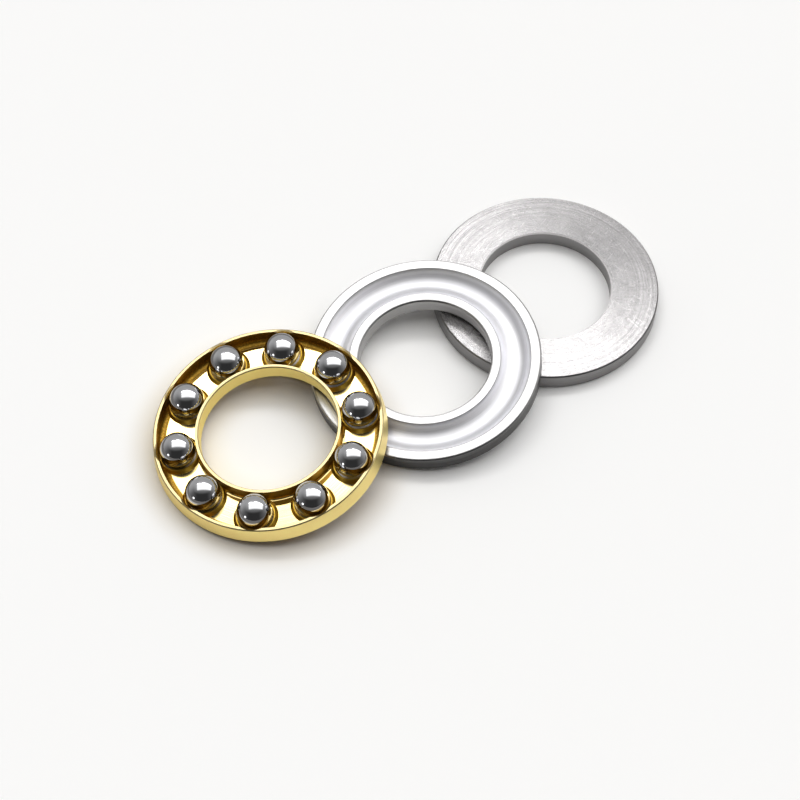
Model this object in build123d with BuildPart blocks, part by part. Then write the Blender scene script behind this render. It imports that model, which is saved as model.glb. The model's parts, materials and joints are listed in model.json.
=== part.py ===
"""Single-direction thrust ball bearing, 12 x 21 x 5 mm, laid apart in its three loose pieces.

Millimetres, +Z up, the pieces stand on z = 0.  The housing washer lies flat with its raceway
down, the shaft washer leans on it with its raceway up, and the cage of balls leans on the
shaft washer.  The fan runs along X, and the origin is the centre of its footprint.
"""

from build123d import *
import os
from math import cos, radians, sin, sqrt

# Bearing, standard sizes
SHAFT_BORE = 12.0  # the shaft washer sits on the shaft
HOUSING_BORE = 12.2  # the housing washer clears it
OUTER_DIAMETER = 21.0
BEARING_HEIGHT = 5.0  # assembled, over both washers
BALL_DIAMETER = 3.175  # 1/8 inch
BALL_COUNT = 10
PITCH_RADIUS = 8.2

# Washers
LAND_GAP = 1.7  # room between the assembled washers
GROOVE_RADIUS = 0.52 * BALL_DIAMETER
GROOVE_DEPTH = (BALL_DIAMETER - LAND_GAP) / 2
WASHER_THICKNESS = (BEARING_HEIGHT - BALL_DIAMETER) / 2 + GROOVE_DEPTH
EDGE_BREAK = 0.12

# Cage: a channel open at the top, with a raised collar round each ball
CAGE_HEIGHT = LAND_GAP - 0.1
CAGE_OUTER_RADIUS = OUTER_DIAMETER / 2  # at the foot of the outer rim
CAGE_TOP_RADIUS = 10.25  # the outer wall draws in towards its top
CHANNEL_RADIUS = 9.95  # inside of the outer rim
CAGE_BORE_RADIUS = 6.2
INNER_WALL = 0.3
RIM_EDGE = 0.08
WEB_THICKNESS = 0.3
OUTER_FILLET = 0.45
INNER_FILLET = 0.25
COLLAR_HEIGHT = 0.25
COLLAR_BASE_RADIUS = 1.98
COLLAR_TOP_RADIUS = 1.73
POCKET_RADIUS = 1.65  # drilled past the rims, down to the collars
SEAT_RADIUS = 1.64  # ball-shaped seat inside a collar
POCKET_MOUTH_RADIUS = 1.42  # smaller than the ball, so the ball can't drop through
SCALLOP_PITCH = 8.45  # a shallow cone at each pocket nicks the top of the outer rim
SCALLOP_RADIUS = 1.75
SCALLOP_DEPTH = 0.4

# How the three pieces lie.  A lean tips a piece about its own centre, so that its axis points
# up and towards the piece's own downhill direction, an angle from +X seen from above.
HOUSING_CENTRE = (15.059, 0.657, 0.0)  # centre of the raceway side, on the floor
SHAFT_CENTRE = (0.505, -0.662, 2.867)  # centre of the raceway side
SHAFT_LEAN = 6.795
SHAFT_DOWNHILL = -169.79
BALLS_CENTRE = (-15.314, 0.657, 2.7)  # centre of the ring of balls
CAGE_LEAN = 7.895
CAGE_DOWNHILL = 171.87
CAGE_DROP = 0.424  # the loose cage hangs this much below the ball centres
FIRST_BALL_ANGLE = 272.89  # from the cage's downhill direction


def leaning_plane(centre, lean, downhill):
    """Plane whose X axis points downhill and whose Z axis leans that way."""
    tip, turn = radians(lean), radians(downhill)
    x_dir = (cos(turn) * cos(tip), sin(turn) * cos(tip), -sin(tip))
    z_dir = (cos(turn) * sin(tip), sin(turn) * sin(tip), cos(tip))
    return Plane(origin=centre, x_dir=x_dir, z_dir=z_dir)


def profile_plane(face):
    """Plane through a ring's axis: local X is the radius, local Y runs along the axis."""
    return Plane(origin=face.origin, x_dir=face.x_dir, z_dir=-face.y_dir)


def washer_section(bore_diameter):
    """Section of a washer below its raceway side, with broken edges and one groove."""
    inner, outer = bore_diameter / 2, OUTER_DIAMETER / 2
    bottom = -WASHER_THICKNESS
    reach = sqrt(GROOVE_RADIUS**2 - (GROOVE_RADIUS - GROOVE_DEPTH) ** 2)
    with BuildSketch() as section:
        with BuildLine():
            Polyline(
                (PITCH_RADIUS + reach, 0),
                (outer - EDGE_BREAK, 0),
                (outer, -EDGE_BREAK),
                (outer, bottom + EDGE_BREAK),
                (outer - EDGE_BREAK, bottom),
                (inner + EDGE_BREAK, bottom),
                (inner, bottom + EDGE_BREAK),
                (inner, -EDGE_BREAK),
                (inner + EDGE_BREAK, 0),
                (PITCH_RADIUS - reach, 0),
            )
            ThreePointArc(
                (PITCH_RADIUS - reach, 0),
                (PITCH_RADIUS, -GROOVE_DEPTH),
                (PITCH_RADIUS + reach, 0),
            )
        make_face()
    return section.sketch


def cage_section():
    """Section of the cage about its mid-height: outer rim, web and inner rim, open upwards."""
    top, bottom = CAGE_HEIGHT / 2, -CAGE_HEIGHT / 2
    floor = bottom + WEB_THICKNESS
    draft = (CAGE_OUTER_RADIUS - CAGE_TOP_RADIUS) / CAGE_HEIGHT
    inner_wall = CAGE_BORE_RADIUS + INNER_WALL
    with BuildSketch() as section:
        with BuildLine():
            Polyline(
                (CHANNEL_RADIUS, floor + OUTER_FILLET),
                (CHANNEL_RADIUS, top),
                (CAGE_TOP_RADIUS - RIM_EDGE, top),
                (CAGE_TOP_RADIUS + RIM_EDGE * draft, top - RIM_EDGE),
                (CAGE_OUTER_RADIUS - RIM_EDGE * draft, bottom + RIM_EDGE),
                (CAGE_OUTER_RADIUS - RIM_EDGE, bottom),
                (CAGE_BORE_RADIUS + RIM_EDGE, bottom),
                (CAGE_BORE_RADIUS, bottom + RIM_EDGE),
                (CAGE_BORE_RADIUS, top - RIM_EDGE),
                (CAGE_BORE_RADIUS + RIM_EDGE, top),
                (inner_wall, top),
                (inner_wall, floor + INNER_FILLET),
            )
            JernArc((inner_wall, floor + INNER_FILLET), (0, -1), INNER_FILLET, 90)
            Line((inner_wall + INNER_FILLET, floor), (CHANNEL_RADIUS - OUTER_FILLET, floor))
            JernArc((CHANNEL_RADIUS - OUTER_FILLET, floor), (1, 0), OUTER_FILLET, 90)
        make_face()
    return section.sketch


def pockets(radius=PITCH_RADIUS):
    """Where the ten pockets are, on a circle of this radius."""
    return PolarLocations(radius, BALL_COUNT, start_angle=FIRST_BALL_ANGLE)


housing_face = Plane(origin=HOUSING_CENTRE, x_dir=(1, 0, 0), z_dir=(0, 0, -1))
shaft_face = leaning_plane(SHAFT_CENTRE, SHAFT_LEAN, SHAFT_DOWNHILL)
ball_plane = leaning_plane(BALLS_CENTRE, CAGE_LEAN, CAGE_DOWNHILL)
cage_plane = ball_plane.offset(-CAGE_DROP)
web_plane = cage_plane.offset(WEB_THICKNESS - CAGE_HEIGHT / 2)
collar_plane = web_plane.offset(COLLAR_HEIGHT)
STANDING = (Align.CENTER, Align.CENTER, Align.MIN)
os.makedirs("parts", exist_ok=True)

# Housing washer: flat on the floor, raceway down
with BuildPart() as housing_washer:
    with BuildSketch(profile_plane(housing_face)):
        add(washer_section(HOUSING_BORE))
    revolve(axis=Axis(housing_face.origin, housing_face.z_dir))
housing_washer.part.label = "housing_washer"
export_step(housing_washer.part, "parts/housing_washer.step")

# Shaft washer: raceway up, one edge on the floor and its back on the housing washer's edge
with BuildPart() as shaft_washer:
    with BuildSketch(profile_plane(shaft_face)):
        add(washer_section(SHAFT_BORE))
    revolve(axis=Axis(shaft_face.origin, shaft_face.z_dir))
shaft_washer.part.label = "shaft_washer"
export_step(shaft_washer.part, "parts/shaft_washer.step")

# Cage: turned channel with tapered collars, then drilled pockets, ball seats, mouths and rim scallops
with BuildPart() as cage:
    with BuildSketch(profile_plane(cage_plane)):
        add(cage_section())
    revolve(axis=Axis(cage_plane.origin, cage_plane.z_dir))
    with Locations(web_plane):
        with pockets():
            Cone(COLLAR_BASE_RADIUS, COLLAR_TOP_RADIUS, COLLAR_HEIGHT, align=STANDING)
    with BuildSketch(collar_plane):
        with pockets():
            Circle(POCKET_RADIUS)
    extrude(amount=CAGE_HEIGHT, mode=Mode.SUBTRACT)
    with BuildSketch(collar_plane):
        with pockets():
            Circle(POCKET_MOUTH_RADIUS)
    extrude(amount=-CAGE_HEIGHT, mode=Mode.SUBTRACT)
    with Locations(cage_plane):
        with pockets():
            Sphere(SEAT_RADIUS, mode=Mode.SUBTRACT)
    with Locations(cage_plane.offset(CAGE_HEIGHT / 2)):
        with pockets(SCALLOP_PITCH):
            Cone(
                SCALLOP_RADIUS - SCALLOP_DEPTH,
                SCALLOP_RADIUS + SCALLOP_DEPTH,
                2 * SCALLOP_DEPTH,
                mode=Mode.SUBTRACT,
            )
cage.part.label = "cage"
export_step(cage.part, "parts/cage.step")

# Balls, numbered clockwise from above
for number in range(1, BALL_COUNT + 1):
    turn = FIRST_BALL_ANGLE - (number - 1) * 360 / BALL_COUNT
    spot = ball_plane.from_local_coords(
        (PITCH_RADIUS * cos(radians(turn)), PITCH_RADIUS * sin(radians(turn)), 0)
    )
    with BuildPart() as ball:
        with Locations(spot):
            Sphere(BALL_DIAMETER / 2)
    name = f"ball_{number:02d}"
    ball.part.label = name
    export_step(ball.part, f"parts/{name}.step")
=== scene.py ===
import json
from math import atan2, cos, pi, radians, sin

import bpy
from mathutils import Matrix, Vector

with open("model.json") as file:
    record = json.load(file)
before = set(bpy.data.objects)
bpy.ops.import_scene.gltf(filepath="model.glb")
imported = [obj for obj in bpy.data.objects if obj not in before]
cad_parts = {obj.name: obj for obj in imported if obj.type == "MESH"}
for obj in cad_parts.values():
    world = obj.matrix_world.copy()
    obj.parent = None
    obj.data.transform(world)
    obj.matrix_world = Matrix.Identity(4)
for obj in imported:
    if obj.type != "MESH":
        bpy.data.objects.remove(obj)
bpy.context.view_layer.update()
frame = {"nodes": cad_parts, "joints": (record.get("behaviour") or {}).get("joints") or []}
NODES = frame["nodes"]
JOINTS = {joint["name"]: joint for joint in frame["joints"]}

MM = 1000.0  # millimetres in a metre: the frame is in metres, the materials work in millimetres
WHITE = (1.0, 1.0, 1.0, 1.0)

# the studio
CAMERA_AT = Vector((-0.068901, -0.09436, 0.16662))
CAMERA_RIGHT = Vector((0.82679, -0.56231, 0.01505))
CAMERA_UP = Vector((0.45738, 0.6876, 0.56393))
LENS_MM = 100.485
SENSOR_MM = 36.0
TO_THE_RIGHT = Vector((0.827, -0.5622, 0.0))
AWAY = Vector((0.5622, 0.827, 0.0))
TO_THE_LAMP = Vector((-0.985, -0.06, 0.1)).normalized()
SOFTBOX = 1.6
SOFTBOX_CORE = 5.0
SOFTBOX_TURN = -0.064
RIB_SPACING = 26.0  # radians of the rib wave per unit of the softbox's plane
FAR_WALL, DARK_SIDE, SIDE_WALLS, GLOW, LAMP = 0.55, 0.045, 0.12, 0.25, 4.0

# the floor
FLOOR_HALF = 1.5
FLOOR_DROP = 2e-5
FLOOR_PALE = (0.97, 0.965, 0.955, 1.0)
# painted light: bounce light from the brass on the floor round the cage
FLOOR_PAINTED_WARM_LIGHT = (0.86, 0.82, 0.76, 1.0)
# painted shadow: dark brown beneath the cage's web, seen through the gaps at the pockets
FLOOR_PAINTED_SHADOW = (0.3, 0.22, 0.08, 1.0)
# painted reflection: the floor as the metal mirrors it, darker away from the rings
FLOOR_DARK_IN_REFLECTIONS = (0.25, 0.24, 0.23, 1.0)

# the rings' own measures, in mm
BORE = 6.0
CAGE_BORE = 6.2
GROOVE_HALF_WIDTH = 1.375
CAGE_DROP = 0.424  # from the ball centres down to the middle of the cage
CAGE_MEAN_RADIUS = 10.375  # of the drawn-in outside, at mid height
CAGE_TAPER = -0.156
COLLAR = 2.0
POCKETS = 10


# ---------- node helper ----------
class Graph:
    """Adds shader nodes; a number or a socket can stand for any input."""

    def __init__(self, tree):
        self.tree = tree
        tree.nodes.clear()

    def add(self, kind, inputs=None, **settings):
        node = self.tree.nodes.new(kind)
        for key, value in settings.items():
            setattr(node, key, value)
        for key, value in (inputs or {}).items():
            self.put(node.inputs[key], value)
        return node

    def put(self, socket, value):
        if isinstance(value, bpy.types.NodeSocket):
            self.tree.links.new(value, socket)
        else:
            socket.default_value = value

    def math(self, op, a, b=0.0, c=None):
        inputs = {0: a, 1: b}
        if c is not None:
            inputs[2] = c
        return self.add("ShaderNodeMath", inputs, operation=op).outputs[0]

    def times(self, a, b):
        return self.math("MULTIPLY", a, b)

    def scaled_plus(self, a, factor, rest):
        """a x factor + rest."""
        return self.math("MULTIPLY_ADD", a, factor, rest)

    def larger(self, a, b):
        return self.math("MAXIMUM", a, b)

    def dot(self, a, b):
        return self.add("ShaderNodeVectorMath", {0: a, 1: b}, operation="DOT_PRODUCT").outputs["Value"]

    def vector(self, x, y, z=0.0):
        return self.add("ShaderNodeCombineXYZ", {0: x, 1: y, 2: z}).outputs[0]

    def length(self, vector):
        return self.add("ShaderNodeVectorMath", {0: vector}, operation="LENGTH").outputs["Value"]

    def scale(self, vector, factor):
        return self.add("ShaderNodeVectorMath", {0: vector, 3: factor}, operation="SCALE").outputs[0]

    def minus(self, a, b):
        return self.add("ShaderNodeVectorMath", {0: a, 1: b}, operation="SUBTRACT").outputs[0]

    def rise(self, value, low, high, to_low=0.0, to_high=1.0):
        """Smooth step from to_low to to_high as value goes from low to high."""
        inputs = {"Value": value, "From Min": low, "From Max": high, "To Min": to_low, "To Max": to_high}
        return self.add("ShaderNodeMapRange", inputs, interpolation_type="SMOOTHSTEP").outputs[0]

    def fall(self, value, low, high):
        """Smooth step from 1 to 0 as value goes from low to high."""
        return self.rise(value, low, high, 1.0, 0.0)

    def band(self, value, low, high, soft):
        """1 between low and high, 0 outside, with soft edges."""
        above_low = self.rise(value, low - soft, low + soft)
        below_high = self.fall(value, high - soft, high + soft)
        return self.times(above_low, below_high)

    def mix(self, factor, a, b):
        """Colour a where factor is 0, b where it is 1."""
        return self.add("ShaderNodeMix", {0: factor, 6: a, 7: b}, data_type="RGBA").outputs[2]

    def mixf(self, factor, a, b):
        """Number a where factor is 0, b where it is 1."""
        return self.add("ShaderNodeMix", {0: factor, 2: a, 3: b}, data_type="FLOAT").outputs[0]

    def finish_surface(self, inputs):
        shader = self.add("ShaderNodeBsdfPrincipled", inputs)
        self.put(self.add("ShaderNodeOutputMaterial").inputs[0], shader.outputs[0])


def new_material(name):
    material = bpy.data.materials.new(name)
    material.use_nodes = True
    return material, Graph(material.node_tree)


# ---------- where the rings lie ----------
class Placing:
    """Centre of a ring in mm and its own axes: z along the ring's axis, x downhill."""

    def __init__(self, centre, axis):
        self.centre = Vector(centre) * MM
        self.z_axis = Vector(axis).normalized()
        level = Vector((0.0, 0.0, 1.0)).cross(self.z_axis)
        self.y_axis = level.normalized() if level.length > 1e-6 else Vector((0.0, 1.0, 0.0))
        self.x_axis = self.y_axis.cross(self.z_axis)

    def moved(self, along_axis):
        return Placing((self.centre + self.z_axis * along_axis) / MM, self.z_axis)

    def angle_of(self, point):
        """Direction of a point from the centre, round the ring's axis from downhill."""
        offset = Vector(point) * MM - self.centre
        return atan2(offset.dot(self.y_axis), offset.dot(self.x_axis))


def joint_placing(name):
    return Placing(JOINTS[name]["pos_m"], JOINTS[name]["axis"])


def housing_placing():
    """The housing washer lies flat with its raceway down, so its axis points down."""
    corners = [Vector(corner) for corner in NODES["housing_washer"].bound_box]
    middle = sum(corners, Vector()) / len(corners)
    return Placing((middle.x, middle.y, 0.0), (0.0, 0.0, -1.0))


HOUSING = housing_placing()
SHAFT = joint_placing("shaft_spin")
BALL_CIRCLE = joint_placing("cage_spin")
CAGE = BALL_CIRCLE.moved(-CAGE_DROP)
FIRST_BALL = Vector(JOINTS["ball_01_roll"]["pos_m"])
PITCH = (FIRST_BALL * MM - BALL_CIRCLE.centre).length
POCKET_ANGLE = CAGE.angle_of(FIRST_BALL)
OUTER = NODES["housing_washer"].dimensions.x * MM / 2


class Ring:
    """Radius, height and other coordinates of a ring in its own placing, in mm."""

    def __init__(self, g, placing):
        coords = g.add("ShaderNodeTexCoord")
        offset = g.minus(g.scale(coords.outputs["Object"], MM), placing.centre)
        self.g = g
        self.x = g.dot(offset, placing.x_axis)
        self.y = g.dot(offset, placing.y_axis)
        self.height = g.dot(offset, placing.z_axis)
        flat = g.vector(self.x, self.y)
        self.radius = g.length(flat)
        around = g.add("ShaderNodeVectorMath", {0: flat}, operation="NORMALIZE").outputs[0]
        split = g.add("ShaderNodeSeparateXYZ", {0: around})
        self.around_x, self.around_y = split.outputs[0], split.outputs[1]
        self.facing = g.math("ABSOLUTE", g.dot(coords.outputs["Normal"], placing.z_axis))

    def noise(self, vector, detail):
        inputs = {"Vector": vector, "Scale": 1.0, "Detail": detail, "Roughness": 0.5}
        return self.g.add("ShaderNodeTexNoise", inputs).outputs[0]

    def turned(self, across, fine, sweep):
        """Lines that run round the ring; across is the coordinate they are stacked along."""
        g = self.g
        x, y = g.times(self.around_x, sweep), g.times(self.around_y, sweep)
        return self.noise(g.vector(x, y, g.times(across, fine)), 3.0)

    def scratches(self, angles, length, fine, low, high):
        """Thin straight scratches in several directions, 0 to 1."""
        g, total = self.g, 0.0
        for index, angle in enumerate(angles):
            c, s = cos(radians(angle)), sin(radians(angle))
            along = g.scaled_plus(self.x, c / length, g.times(self.y, s / length))
            across = g.scaled_plus(self.x, -s * fine, g.times(self.y, c * fine))
            layer = 7.3 * index + 1.1
            mark = g.rise(self.noise(g.vector(along, across, layer), 1.0), low, high)
            total = g.larger(total, mark)
        return total

    def mottle(self, scale):
        """Cloudy patches of about 1 / scale mm."""
        g = self.g
        return self.noise(g.scale(g.vector(self.x, self.y, self.height), scale), 3.0)


# ---------- studio ----------
def make_camera():
    data = bpy.data.cameras.new("camera")
    data.lens = LENS_MM
    data.sensor_width = SENSOR_MM
    data.clip_start = 0.005
    data.clip_end = 20.0
    camera = bpy.data.objects.new("camera", data)
    bpy.context.scene.collection.objects.link(camera)
    back = CAMERA_RIGHT.cross(CAMERA_UP).normalized()
    turn = Matrix((CAMERA_RIGHT, CAMERA_UP, back)).transposed()
    camera.matrix_world = Matrix.Translation(CAMERA_AT) @ turn.to_4x4()
    bpy.context.scene.camera = camera


def softbox(g, u, w):
    """A wide ribbed softbox with a bright core on its far side."""
    width = g.times(g.rise(u, -0.72, -0.5), g.fall(u, 1.2, 1.7))
    wide = g.times(g.rise(w, -0.32, -0.14), g.fall(w, 0.3, 0.85))
    ribs = g.rise(g.math("SINE", g.times(w, RIB_SPACING)), 0.5, 1.0, 1.0, 0.55)
    core = g.times(g.rise(w, 0.485, 0.545), g.fall(w, 0.62, 0.8))
    both = g.scaled_plus(g.times(wide, ribs), SOFTBOX, g.times(core, SOFTBOX_CORE))
    return g.times(both, width)


def make_world():
    """A softbox overhead, a pale far wall, grey side walls and a dark room on the near side."""
    world = bpy.data.worlds.new("studio")
    bpy.context.scene.world = world
    world.use_nodes = True
    g = Graph(world.node_tree)
    ray = g.add("ShaderNodeTexCoord").outputs["Generated"]
    height = g.add("ShaderNodeSeparateXYZ", {0: ray}).outputs[2]
    # u and w: where the ray meets a level plane one unit up, to the right and away
    up = g.larger(height, 0.03)
    u = g.math("DIVIDE", g.dot(ray, TO_THE_RIGHT), up)
    w = g.scaled_plus(u, SOFTBOX_TURN, g.math("DIVIDE", g.dot(ray, AWAY), up))
    room = g.rise(g.dot(ray, AWAY), -0.45, 0.75, DARK_SIDE, FAR_WALL)
    side = g.rise(g.math("ABSOLUTE", g.dot(ray, TO_THE_RIGHT)), 0.45, 1.05)
    glow = g.times(g.rise(w, -1.0, -0.2), g.rise(height, 0.5, 0.9))
    lamp = g.rise(g.dot(ray, TO_THE_LAMP), 0.993, 0.998, 0.0, LAMP)
    light = g.math("ADD", softbox(g, u, w), g.scaled_plus(side, SIDE_WALLS, room))
    light = g.math("ADD", g.scaled_plus(glow, GLOW, light), lamp)
    seen = g.add("ShaderNodeLightPath").outputs["Is Camera Ray"]
    background = g.add("ShaderNodeBackground", {"Color": g.mix(seen, light, WHITE), "Strength": 1.0})
    g.put(g.add("ShaderNodeOutputWorld").inputs[0], background.outputs[0])


def floor_color(g):
    """Pale, with painted light from the brass round the cage and a painted shadow right beneath it; the
    metal's reflections alone see a painted darkness past the fan of rings.
    """
    spot = g.scale(g.add("ShaderNodeTexCoord").outputs["Object"], MM)
    split = g.add("ShaderNodeSeparateXYZ", {0: spot})
    past_end = g.larger(g.math("SUBTRACT", g.math("ABSOLUTE", split.outputs[0]), -CAGE.centre.x), 0.0)
    aside = g.length(g.vector(past_end, split.outputs[1]))
    glossy = g.add("ShaderNodeLightPath").outputs["Is Glossy Ray"]
    # painted reflection: past the fan of rings the metal mirrors a darker floor, while camera rays still
    # see it pale
    painted_dark_in_reflections = g.times(g.rise(aside, OUTER + 2.0, OUTER + 7.0), glossy)
    from_cage = g.length(g.minus(spot, (CAGE.centre.x, CAGE.centre.y, 0.0)))
    # painted light: a glow from the brass, round and inside the cage
    painted_warm_light = g.times(g.rise(from_cage, 2.8, 6.4), g.fall(from_cage, OUTER, OUTER + 3.0))
    # painted shadow: a dark brown ring beneath the cage's web, seen through the gaps at the pockets
    painted_shadow_beneath_cage = g.times(g.rise(from_cage, 7.1, 7.9), g.fall(from_cage, 8.8, 9.4))
    color = g.mix(painted_warm_light, FLOOR_PALE, FLOOR_PAINTED_WARM_LIGHT)
    color = g.mix(painted_shadow_beneath_cage, color, FLOOR_PAINTED_SHADOW)
    return g.mix(painted_dark_in_reflections, color, FLOOR_DARK_IN_REFLECTIONS)


def make_floor():
    mesh = bpy.data.meshes.new("floor")
    square = ((-1, -1), (1, -1), (1, 1), (-1, 1))
    corners = [(x * FLOOR_HALF, y * FLOOR_HALF, -FLOOR_DROP) for x, y in square]
    mesh.from_pydata(corners, [], [(0, 1, 2, 3)])
    floor = bpy.data.objects.new("floor", mesh)
    bpy.context.scene.collection.objects.link(floor)
    material, g = new_material("floor")
    g.finish_surface({"Base Color": floor_color(g), "Roughness": 0.9, "Specular IOR Level": 0.1})
    mesh.materials.append(material)


# ---------- materials ----------
# Each CAD node keeps its mesh; its zones are told apart by radius, height and facing in its own placing.
def finish_metal(g, color, shade, roughness, relief=None, depth=0.0):
    """Metal whose plain colour is multiplied by the shade; relief is a 0..1 height over depth metres."""
    inputs = {"Base Color": g.scale(color, shade), "Metallic": 1.0, "Roughness": roughness}
    if relief is not None:
        bump = {"Height": relief, "Distance": depth, "Strength": 1.0}
        inputs["Normal"] = g.add("ShaderNodeBump", bump).outputs[0]
    g.finish_surface(inputs)


def painted_sheen(g, ring):
    """Painted sheen: the ground face is painted darker to the right and lighter to the left and on the
    near side, as light falls on it.
    """
    right = g.larger(g.times(ring.around_x, -1.0), 0.0)
    left = g.larger(ring.around_x, 0.0)
    near = g.larger(g.times(ring.around_y, -1.0), 0.0)
    return g.scaled_plus(g.math("ADD", left, near), 0.08, g.scaled_plus(right, -0.52, 1.14))


def ground_steel():
    """Housing washer: flat back ground grey with crossing scratches and a painted sheen, darker turned
    walls, a painted highlight on the bore's chamfer.
    """
    material, g = new_material("ground_steel")
    ring = Ring(g, HOUSING)
    flat = g.rise(ring.facing, 0.85, 0.97)
    stronger_outside = g.rise(ring.radius, 7.0, 9.8, 0.7, 2.4)
    lines = g.math("SUBTRACT", ring.turned(ring.radius, 12.0, 1.2), 0.5)
    lines = g.scaled_plus(lines, stronger_outside, 0.5)
    light_marks = ring.scratches((12, 47, 83, 118, 156), 1.9, 17.0, 0.58, 0.72)
    dark_marks = ring.scratches((30, 66, 101, 140, 172), 2.4, 19.0, 0.6, 0.74)
    wall_lines = ring.turned(ring.height, 14.0, 1.2)
    top = g.scaled_plus(lines, 0.5, 0.55)
    top = g.scaled_plus(light_marks, 0.14, top)
    top = g.scaled_plus(dark_marks, -0.14, top)
    top = g.scaled_plus(ring.mottle(0.55), 0.24, top)
    # painted sheen: light and shade across the ground face
    top = g.times(top, painted_sheen(g, ring))
    wall = g.scaled_plus(wall_lines, 0.3, 0.5)
    chamfer = g.band(ring.facing, 0.5, 0.9, 0.1)
    # painted highlight: the bore's chamfer is painted nearly white
    painted_lip_highlight = g.times(chamfer, g.math("LESS_THAN", ring.radius, BORE + 2.0))
    shade = g.mixf(painted_lip_highlight, g.mixf(flat, wall, top), 2.3)
    rough = g.mixf(flat, 0.42, g.scaled_plus(light_marks, -0.1, 0.31))
    rough = g.mixf(painted_lip_highlight, rough, 0.75)
    top_relief = g.scaled_plus(dark_marks, -0.5, g.scaled_plus(lines, 0.4, light_marks))
    relief = g.mixf(flat, wall_lines, top_relief)
    finish_metal(g, (0.41, 0.4, 0.4), shade, rough, relief, 4e-6)
    return material


def polished_steel():
    """Shaft washer: satin lands, a polished groove with fine turning lines whose slopes are painted
    lighter, painted dark lines along the edges, and walls painted darker, the outer wall darkest, with
    painted shade toward its foot.
    """
    material, g = new_material("polished_steel")
    ring = Ring(g, SHAFT)
    groove_in, groove_out = PITCH - GROOVE_HALF_WIDTH, PITCH + GROOVE_HALF_WIDTH
    flat = g.rise(ring.facing, 0.5, 0.7)
    groove = g.band(ring.radius, groove_in, groove_out, 0.015)
    slope_painted_lighter = g.times(groove, g.fall(ring.facing, 0.7, 0.95))
    bore = g.math("LESS_THAN", ring.radius, BORE + 0.3)
    lines = ring.turned(ring.radius, 16.0, 1.6)
    bands = ring.turned(ring.radius, 3.2, 0.9)
    marks = ring.scratches((25, 75, 130, 165), 1.2, 12.0, 0.62, 0.76)
    wall_lines = ring.turned(ring.height, 13.0, 1.4)
    # painted shade: thin dark lines along the edges of the raceway, the bore and the outer rim
    painted_edge_shade = g.larger(
        g.larger(
            g.band(ring.radius, groove_in - 0.05, groove_in + 0.03, 0.02),
            g.band(ring.radius, groove_out - 0.03, groove_out + 0.05, 0.02),
        ),
        g.larger(
            g.band(ring.radius, OUTER - 0.2, OUTER - 0.12, 0.02),
            g.band(ring.radius, BORE + 0.12, BORE + 0.2, 0.02),
        ),
    )
    land = g.scaled_plus(marks, -0.14, g.scaled_plus(lines, 0.3, 0.72))
    bowl = g.scaled_plus(bands, 0.3, g.scaled_plus(lines, 0.36, 0.68))
    # painted light: the groove's slopes are painted lighter
    bowl = g.scaled_plus(ring.mottle(0.8), 0.1, g.scaled_plus(slope_painted_lighter, 0.6, bowl))
    face = g.times(g.mixf(groove, land, bowl), g.scaled_plus(painted_edge_shade, -0.45, 1.0))
    # painted shade: the outer wall is painted much darker than the faces and the bore, darker still
    # toward its foot
    wall = g.scaled_plus(wall_lines, 0.3, g.mixf(bore, 0.1, 0.6))
    wall = g.times(wall, g.mixf(bore, g.rise(ring.height, -0.85, 0.3, 0.55, 1.1), 1.0))
    shade = g.mixf(flat, wall, face)
    rough = g.mixf(groove, 0.3, g.scaled_plus(bands, 0.16, 0.38))
    rough = g.mixf(flat, 0.42, g.mixf(slope_painted_lighter, rough, 0.62))
    tint = g.mix(g.times(groove, bands), (0.6, 0.595, 0.59, 1.0), (0.56, 0.56, 0.6, 1.0))
    finish_metal(g, tint, shade, rough, g.mixf(flat, wall_lines, lines), 2.5e-6)
    return material


def near_pocket(g, ring):
    """1 within a pocket's collar, below the rims."""
    turn = g.math("SUBTRACT", g.math("ARCTAN2", ring.y, ring.x), POCKET_ANGLE)
    turn = g.math("WRAP", turn, pi / POCKETS, -pi / POCKETS)
    outward = g.math("SUBTRACT", g.times(ring.radius, g.math("COSINE", turn)), PITCH)
    sideways = g.times(ring.radius, g.math("SINE", turn))
    distance = g.length(g.vector(outward, sideways))
    return g.times(g.fall(distance, COLLAR - 0.05, COLLAR), g.fall(ring.height, 0.6, 0.7))


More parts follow.
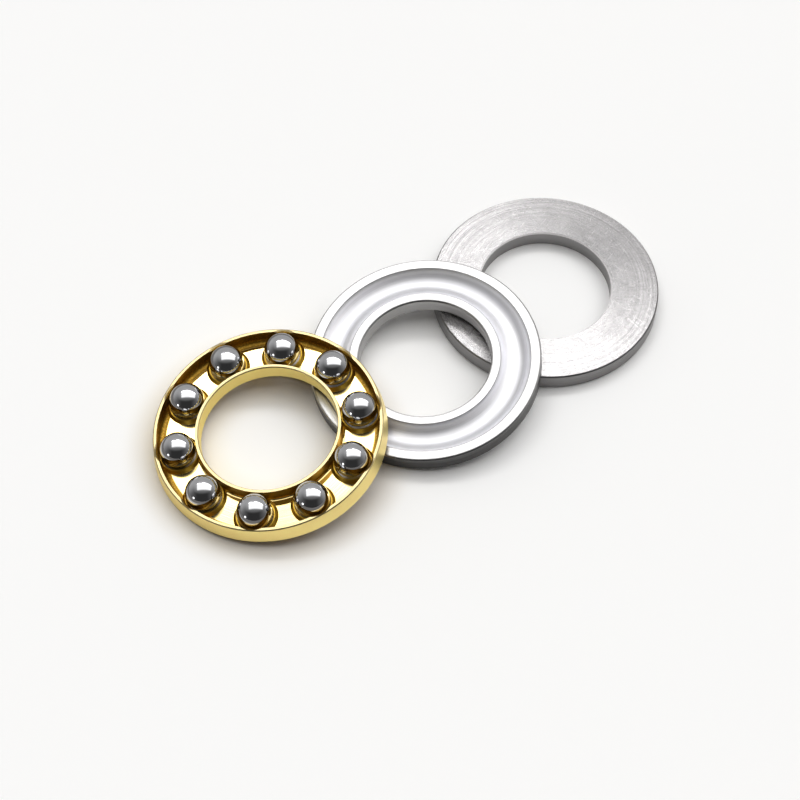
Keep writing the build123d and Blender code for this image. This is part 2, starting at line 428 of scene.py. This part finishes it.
def turned_brass():
    """Cage: satin outside and bore, mirror web, rougher channel walls and pockets painted darker as
    painted shade, in a deeper orange where brass mirrors brass.
    """
    material, g = new_material("turned_brass")
    ring = Ring(g, CAGE)
    steep = g.fall(ring.facing, 0.3, 0.5)
    drawn_in = g.scaled_plus(ring.height, CAGE_TAPER, CAGE_MEAN_RADIUS - 0.1)
    inside = g.math("LESS_THAN", ring.radius, CAGE_BORE + 0.1)
    satin = g.larger(g.math("GREATER_THAN", ring.radius, drawn_in), inside)
    rim_top = g.times(g.rise(ring.height, 0.66, 0.72), g.math("SUBTRACT", 1.0, steep))
    # painted shade: the fillet at the channel's outer foot is painted darker, with lighter specks
    shaded_hollow = g.rise(ring.radius, 9.28, 9.42)
    # rougher, and painted darker than the web: painted shade on the channel walls, collars and fillet
    dull_and_shaded = g.larger(g.larger(near_pocket(g, ring), shaded_hollow), steep)
    wall_lines = ring.turned(ring.height, 11.0, 2.0)
    web_lines = ring.turned(ring.radius, 7.0, 1.5)
    grain = ring.mottle(9.0)
    cloud = ring.mottle(0.9)
    speckle = g.times(shaded_hollow, g.rise(ring.mottle(6.0), 0.52, 0.62))

    satin_shade = g.scaled_plus(wall_lines, 0.08, g.scaled_plus(cloud, 0.1, 0.95))
    dull_painted_shade = g.scaled_plus(wall_lines, 0.3, g.scaled_plus(cloud, 0.2, 0.35))
    dull_painted_shade = g.scaled_plus(speckle, 0.25, g.scaled_plus(shaded_hollow, -0.2, dull_painted_shade))
    web_shade = g.scaled_plus(web_lines, 0.06, 0.96)
    shade = g.mixf(satin, g.mixf(dull_and_shaded, web_shade, dull_painted_shade), satin_shade)
    shade = g.mixf(rim_top, shade, 0.6)

    dull_rough = g.scaled_plus(wall_lines, 0.12, g.mixf(shaded_hollow, 0.32, 0.4))
    satin_rough = g.scaled_plus(grain, 0.1, g.scaled_plus(inside, 0.1, 0.34))
    rough = g.mixf(dull_and_shaded, g.scaled_plus(grain, 0.05, 0.05), dull_rough)
    rough = g.mixf(rim_top, g.mixf(satin, rough, satin_rough), 0.34)

    # painted reflection: a deeper, more orange brass, as brass mirrors brass
    dull_shaded_color = g.mix(shaded_hollow, (0.76, 0.47, 0.06, 1.0), (0.74, 0.42, 0.06, 1.0))
    satin_color = g.mix(inside, (1.0, 0.78, 0.3, 1.0), (1.0, 0.79, 0.28, 1.0))
    color = g.mix(satin, g.mix(dull_and_shaded, (0.9, 0.69, 0.29, 1.0), dull_shaded_color), satin_color)
    color = g.mix(rim_top, color, (0.95, 0.77, 0.4, 1.0))
    finish_metal(g, color, shade, rough, g.mixf(steep, web_lines, wall_lines), 2e-6)
    return material


def ball_steel():
    """Balls: mirror steel, with faint wear and small pits in the polish."""
    material, g = new_material("ball_steel")
    spot = g.scale(g.add("ShaderNodeTexCoord").outputs["Object"], MM)
    haze = g.add("ShaderNodeTexNoise", {"Vector": spot, "Scale": 2.2, "Detail": 3.0}).outputs[0]
    pits = g.add("ShaderNodeTexVoronoi", {"Vector": spot, "Scale": 3.4}).outputs[0]
    shade = g.times(g.rise(pits, 0.03, 0.09, 0.8, 1.0), g.scaled_plus(haze, 0.08, 0.96))
    finish_metal(g, (0.56, 0.56, 0.57), shade, g.scaled_plus(haze, 0.05, 0.01))
    return material


def assign(node, material):
    NODES[node].data.materials.clear()
    NODES[node].data.materials.append(material)


bpy.context.scene.view_settings.view_transform = "Standard"
make_camera()
make_world()
make_floor()
assign("housing_washer", ground_steel())
assign("shaft_washer", polished_steel())
assign("cage", turned_brass())
ball_material = ball_steel()
for name in NODES:
    if name.startswith("ball_"):
        assign(name, ball_material)
